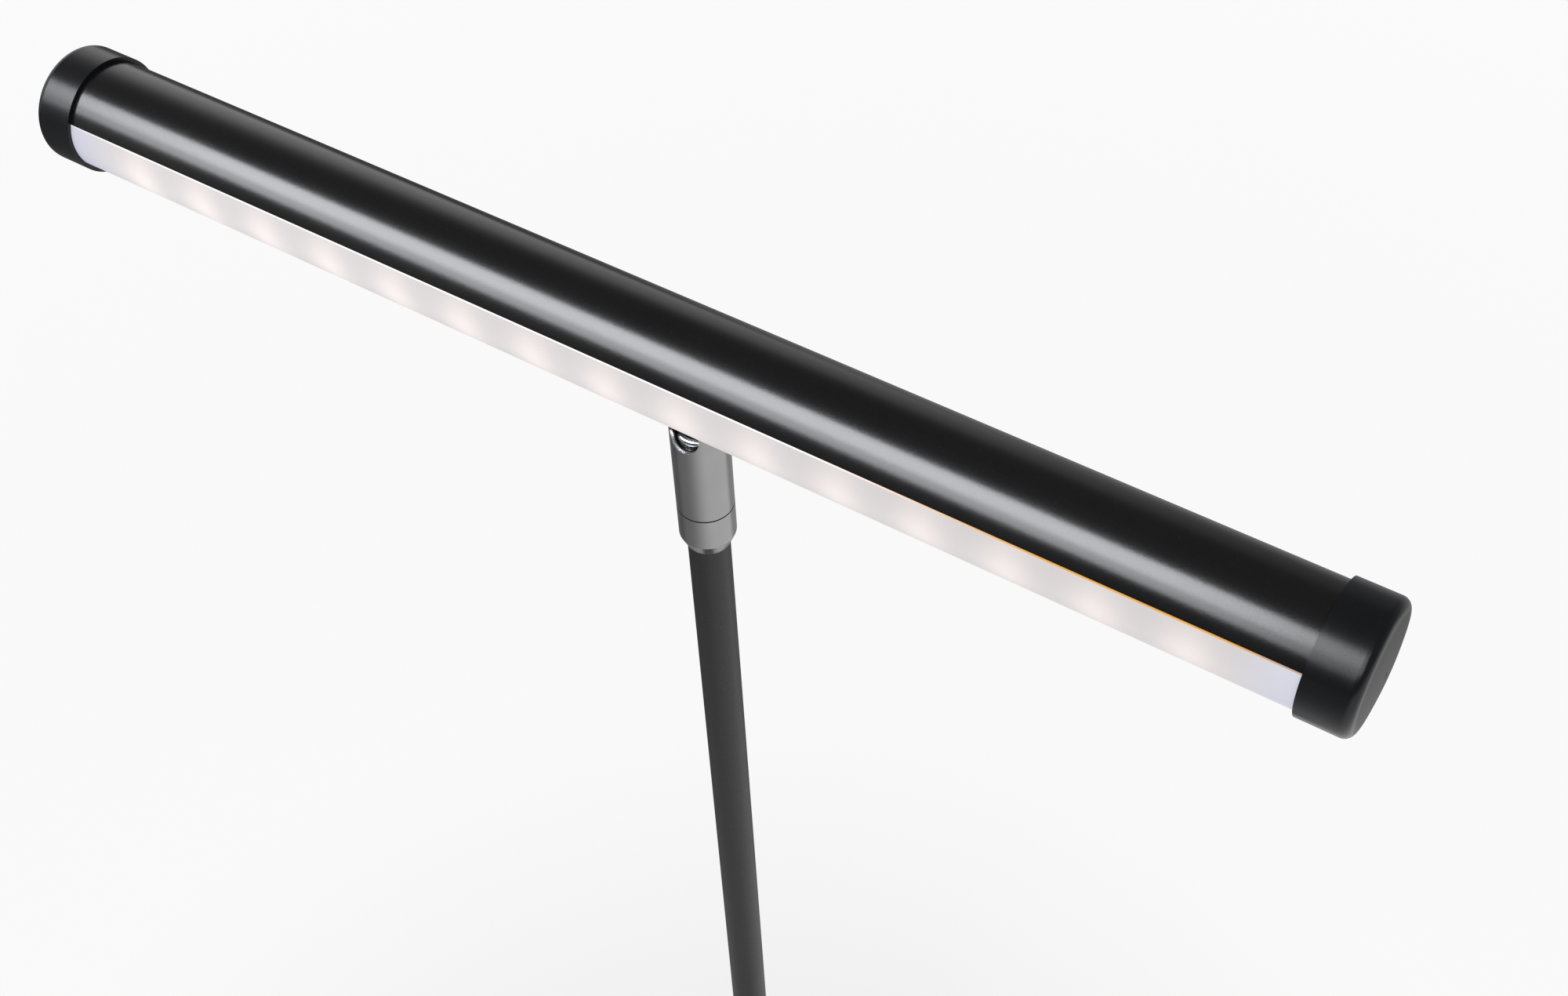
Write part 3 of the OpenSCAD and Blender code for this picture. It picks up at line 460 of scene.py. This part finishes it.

# The cup under the ball, with a polished rim round its foot that shines through the slot. Its upper
# part is painted dark as shade, deep in the slot. Heights are from the ball's centre
cup = {
    "top": -0.00477, "bottom": -0.01017, "bore": 0.0026, "ball": 0.0065, "neck": 0.0050,
    "neckFlare": 0.0003, "flareLow": 0.0001, "flareHigh": 0.0005, "lipHigh": 0.0003, "lipIn": 0.0002,
    "rim": 0.0064, "rimRound": 0.00125, "blackFrom": -0.007733,
    "edge": 0.0001, "edgeSteps": 2, "edgeLimit": 50,
    "rimPoints": 15, "hollowPoints": 9, "columns": 96,
}
cupSteel = dict(polished, blackAbove=ballCentre[2] + cup["blackFrom"], pale=(0.62, 0.64, 0.67),
                dark=(0.50, 0.52, 0.55), depth=0.0000005, ringRough=0.02, scratches=0.0, rough=0.16)


def seatCup(look):
    # The profile, from the bore's foot outwards: round rim, narrower neck, hollow for the ball
    turn = np.linspace(-np.pi / 2, np.pi / 2, look["rimPoints"])
    rim = np.stack([look["rim"] - look["rimRound"] * (1 - np.cos(turn)),
                    look["bottom"] + look["rimRound"] * (1 + np.sin(turn))], axis=-1)
    neck, top, rimTop = look["neck"], look["top"], rim[-1, 1]
    side = [[neck + look["neckFlare"], rimTop + look["flareLow"]], [neck, rimTop + look["flareHigh"]],
            [neck, top - look["lipHigh"]], [neck - look["lipIn"], top]]
    # The hollow is an arc of the ball, from the height of the top down to the width of the bore
    arc = np.linspace(math.asin(-top / look["ball"]), math.acos(look["bore"] / look["ball"]),
                      look["hollowPoints"])
    hollow = look["ball"] * np.stack([np.cos(arc), -np.sin(arc)], axis=-1)
    profile = np.concatenate([[[look["bore"], look["bottom"]]], rim, side, hollow])
    angle = np.linspace(0, 2 * np.pi, look["columns"], endpoint=False)[:, None]
    points = turned(profile[:, 0], angle, profile[:, 1]) + ballCentre
    numbers = np.arange(points.shape[0] * points.shape[1]).reshape(points.shape[:2])
    faces = gridFaces(np.concatenate([numbers, numbers[:1]]))
    return makePiece("seat_cup", points, faces, turnedMetal("cup_steel", cupSteel))


cupPiece = seatCup(cup)
softenEdges(cupPiece, cup)
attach(cupPiece, "swivel")
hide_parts("ball_seat")
print("swivel pieces done")


# Plain inner finishes: two tones in soft patches, with a grain of one size
tones = {"patchShare": 0.6, "grainShare": 0.4, "grainRough": 0.6}


def plainFinish(name, look):
    f = newFinish(name)
    patch = f.noise(look["patch"], detail=3)
    grain = f.noise(look["grain"], look["detail"], f.stretched(look["stretch"]), tones["grainRough"])
    tone = patch * tones["patchShare"] + grain * tones["grainShare"]
    return f.surface({
        "Base Color": f.mix(tone, look["dark"], look["pale"]), "Metallic": look["metal"],
        "Roughness": look["rough"] + grain.spread(look["roughSpread"]),
        "Normal": f.bump(grain, look["depth"]), "Specular IOR Level": look["gloss"]})


laminate = {
    "dark": (0.012, 0.07, 0.035), "pale": (0.02, 0.11, 0.055), "patch": 0.004, "grain": 0.0005,
    "detail": 2, "stretch": (1, 3, 1), "rough": 0.38, "roughSpread": 0.2, "metal": 0.0,
    "depth": 0.00002, "gloss": 0.5,
}
whitePlastic = {
    "dark": (0.66, 0.64, 0.58), "pale": (0.76, 0.74, 0.69), "patch": 0.006, "grain": 0.0003,
    "detail": 2, "stretch": (1, 1, 1), "rough": 0.45, "roughSpread": 0.15, "metal": 0.0,
    "depth": 0.00001, "gloss": 0.5,
}
roughIron = {
    "dark": (0.035, 0.032, 0.03), "pale": (0.09, 0.085, 0.08), "patch": 0.012, "grain": 0.0012,
    "detail": 5, "stretch": (1, 1, 1), "rough": 0.66, "roughSpread": 0.3, "metal": 0.7,
    "depth": 0.00018, "gloss": 0.5,
}
softRubber = {
    "dark": (0.010, 0.010, 0.010), "pale": (0.022, 0.022, 0.022), "patch": 0.006, "grain": 0.0004,
    "detail": 2, "stretch": (1, 1, 1), "rough": 0.62, "roughSpread": 0.15, "metal": 0.0,
    "depth": 0.00002, "gloss": 0.4,
}
dress(plainFinish("laminate", laminate), "led_board", "driver_board")
dress(plainFinish("white_plastic", whitePlastic), "led_chips", "switch_plunger")
dress(plainFinish("iron", roughIron), "base_weight")
dress(plainFinish("rubber", softRubber), "head_lead", "pole_lead", "dimmer_lead")


# Pressed felt: matted fibres at two sizes, paler where they stand up
felt = {
    "dark": (0.006, 0.006, 0.006), "pale": (0.035, 0.035, 0.036), "fibre": 0.0006,
    "fibreStretch": (1, 2.5, 1), "fibreRough": 0.7, "mat": 0.004, "fibreShare": 0.7,
    "matShare": 0.3, "raised": (0.3, 0.7), "depth": 0.0003, "rough": 0.95, "sheen": 0.3,
    "gloss": 0.2,
}


def pressedFelt(look):
    f = newFinish("felt")
    fibre = f.noise(look["fibre"], detail=4, where=f.stretched(look["fibreStretch"]),
                    rough=look["fibreRough"])
    mat = f.noise(look["mat"], detail=3)
    nap = fibre * look["fibreShare"] + mat * look["matShare"]
    return f.surface({
        "Base Color": f.mix(f.between(nap, *look["raised"]), look["dark"], look["pale"]),
        "Roughness": look["rough"], "Normal": f.bump(nap, look["depth"]),
        "Sheen Weight": look["sheen"], "Specular IOR Level": look["gloss"]})


dress(pressedFelt(felt), "felt_pad")
print("inner finishes done")


# The floor, pale and matt, which the camera sees nearly white. Reaches are from the middle
ground = {
    "half": 8.0, "low": -0.0002, "dark": (0.93, 0.93, 0.93), "pale": (0.95, 0.95, 0.95),
    "mottle": 0.4, "clearBelow": 0.001, "whiteShare": 0.89, "whiteReach": (0.5, 2.6),
    "shadowShare": 0.22, "shadowReach": (0.10, 0.42),
    "litX": 0.9, "litY": 0.4, "litAlong": (-0.55, 0.35), "unlit": 0.23,
    "backX": 0.8, "backAlong": (0.1, 0.35), "backDark": 0.6,
}


def makeFloor(look):
    half, low = look["half"], look["low"]
    corners = [(-half, -half, low), (half, -half, low), (half, half, low), (-half, half, low)]
    mesh = bpy.data.meshes.new("floor")
    mesh.from_pydata(corners, [], [(0, 1, 2, 3)])
    floor = bpy.data.objects.new("floor", mesh)
    bpy.context.scene.collection.objects.link(floor)
    f = newFinish("floor")
    x, y = f.axes()[:2]
    tone = f.mix(f.noise(look["mottle"]), look["dark"], look["pale"])
    matt = f.node("ShaderNodeBsdfDiffuse", {}, {"Color": tone})
    rays = f.node("ShaderNodeLightPath")
    seen = rays.out("Is Camera Ray").maths("MAXIMUM", rays.out("Is Glossy Ray"))
    seen = seen.maths("MAXIMUM", rays.out("Is Transmission Ray"))
    # Close to the base more of the matt floor shows, with the object's shadow, and far away none
    reach = f.reach(x, y)
    near = 1 - f.between(reach, *look["shadowReach"])
    far = f.between(reach, *look["whiteReach"])
    white = look["whiteShare"] + far * (1 - look["whiteShare"]) - near * look["shadowShare"]
    # Shiny surfaces see the floor darker to the front left, where the room is unlit, and again to
    # the back left
    lit = f.between(x * look["litX"] + y * look["litY"], *look["litAlong"])
    lit = lit * (1 - look["unlit"]) + look["unlit"]
    lit = lit * (1 - f.between(y - x * look["backX"], *look["backAlong"]) * look["backDark"])
    strength = 1 - rays.out("Is Glossy Ray") * (1 - lit)
    glow = f.node("ShaderNodeEmission", {}, {"Color": (1, 1, 1), "Strength": strength})
    both = f.node("ShaderNodeMixShader", {}, {0: seen * white, 1: matt, 2: glow})
    # From below the floor is clear, also for light that starts just above it, so that the felt shows
    under = f.node("ShaderNodeNewGeometry").out("Backfacing")
    under = under.maths("MAXIMUM", rays.out("Ray Length").maths("LESS_THAN", look["clearBelow"]))
    clear = f.node("ShaderNodeBsdfTransparent")
    oneSided = f.node("ShaderNodeMixShader", {}, {0: under, 1: both, 2: clear})
    f.node("ShaderNodeOutputMaterial", {}, {"Surface": oneSided})
    mesh.materials.append(f.owner)


# The surround: white to the camera, and a room of walls and a ceiling to shiny surfaces. The spans
# are parts of a direction of length 1
surround = {
    "backdrop": 1.0, "ambient": 0.45, "ceiling": 0.14, "ceilingSpan": (0.35, 0.70),
    "leftWall": 1.2, "rightWall": 0.25, "wallSpan": (-0.65, -0.1),
    "frontDark": 0.85, "frontSpan": (-0.35, -0.80),
}


def makeSurround(look):
    world = bpy.data.worlds.new("surround")
    bpy.context.scene.world = world
    f = Finish(world)
    rays = f.node("ShaderNodeLightPath")
    shiny = rays.out("Is Glossy Ray").maths("MAXIMUM", rays.out("Is Transmission Ray"))
    side = f.node("ShaderNodeSeparateXYZ", {}, {
        "Vector": f.node("ShaderNodeTexCoord").out("Generated")})
    above = f.between(side.out("Z"), *look["ceilingSpan"])
    right = f.between(side, *look["wallSpan"])
    wall = look["leftWall"] - right * (look["leftWall"] - look["rightWall"])
    front = 1 - f.between(side.out("Y"), *look["frontSpan"]) * look["frontDark"]
    mirror = wall * front * (1 - above) + above * look["ceiling"]
    level = f.node("ShaderNodeMix", {"data_type": "FLOAT"}, {
        0: shiny, 2: look["ambient"], 3: mirror})
    level = f.node("ShaderNodeMix", {"data_type": "FLOAT"}, {
        0: rays.out("Is Camera Ray"), 2: level, 3: look["backdrop"]})
    sky = f.node("ShaderNodeBackground", {}, {"Color": (1, 1, 1), "Strength": level})
    f.node("ShaderNodeOutputWorld", {}, {"Surface": sky})


# One soft key light, and two long cards over the bar that show only in its sheen
lamps = {
    "upperCard": {"place": (-0.56, -0.582, 1.459), "aim": (-0.56, 0.02, 0.66), "size": (1.18, 0.46),
                  "power": 26, "colour": (0.94, 0.96, 1.0), "shinyOnly": True},
    "lowerCard": {"place": (-0.56, -0.828, 1.190), "aim": (-0.56, 0.02, 0.66), "size": (1.18, 0.28),
                  "power": 9, "colour": (0.94, 0.96, 1.0), "shinyOnly": True},
    "key": {"place": (0.5, -1.1, 1.9), "aim": (0, 0.03, 0.5), "size": (1.0, 1.0), "power": 12,
            "colour": (1, 1, 1), "shinyOnly": False},
}


def makeLamp(name, look):
    data = bpy.data.lights.new(name, "AREA")
    data.shape = "RECTANGLE"
    data.size, data.size_y = look["size"]
    data.energy = look["power"]
    data.color = look["colour"]
    lamp = bpy.data.objects.new(name, data)
    lamp.location = look["place"]
    direction = Vector(look["aim"]) - Vector(look["place"])
    lamp.rotation_euler = direction.to_track_quat("-Z", "Y").to_euler()
    lamp.visible_camera = False
    lamp.visible_diffuse = not look["shinyOnly"]
    bpy.context.scene.collection.objects.link(lamp)


# The photograph's viewpoint, with its turn in degrees
viewpoint = {
    "place": (0.235393, -0.261708, 1.009613), "turn": (41.921, 1.813, 32.756), "lens": 48.35,
    "sensor": 36, "nearest": 0.01,
}


def makeCamera(look):
    data = bpy.data.cameras.new("camera")
    data.sensor_width = look["sensor"]
    data.lens = look["lens"]
    data.clip_start = look["nearest"]
    camera = bpy.data.objects.new("camera", data)
    camera.location = look["place"]
    camera.rotation_euler = [math.radians(angle) for angle in look["turn"]]
    bpy.context.scene.collection.objects.link(camera)
    bpy.context.scene.camera = camera


makeFloor(ground)
makeSurround(surround)
for lampName, lampLook in lamps.items():
    makeLamp(lampName, lampLook)
makeCamera(viewpoint)
bpy.context.scene.view_settings.view_transform = "Standard"
print("studio done")
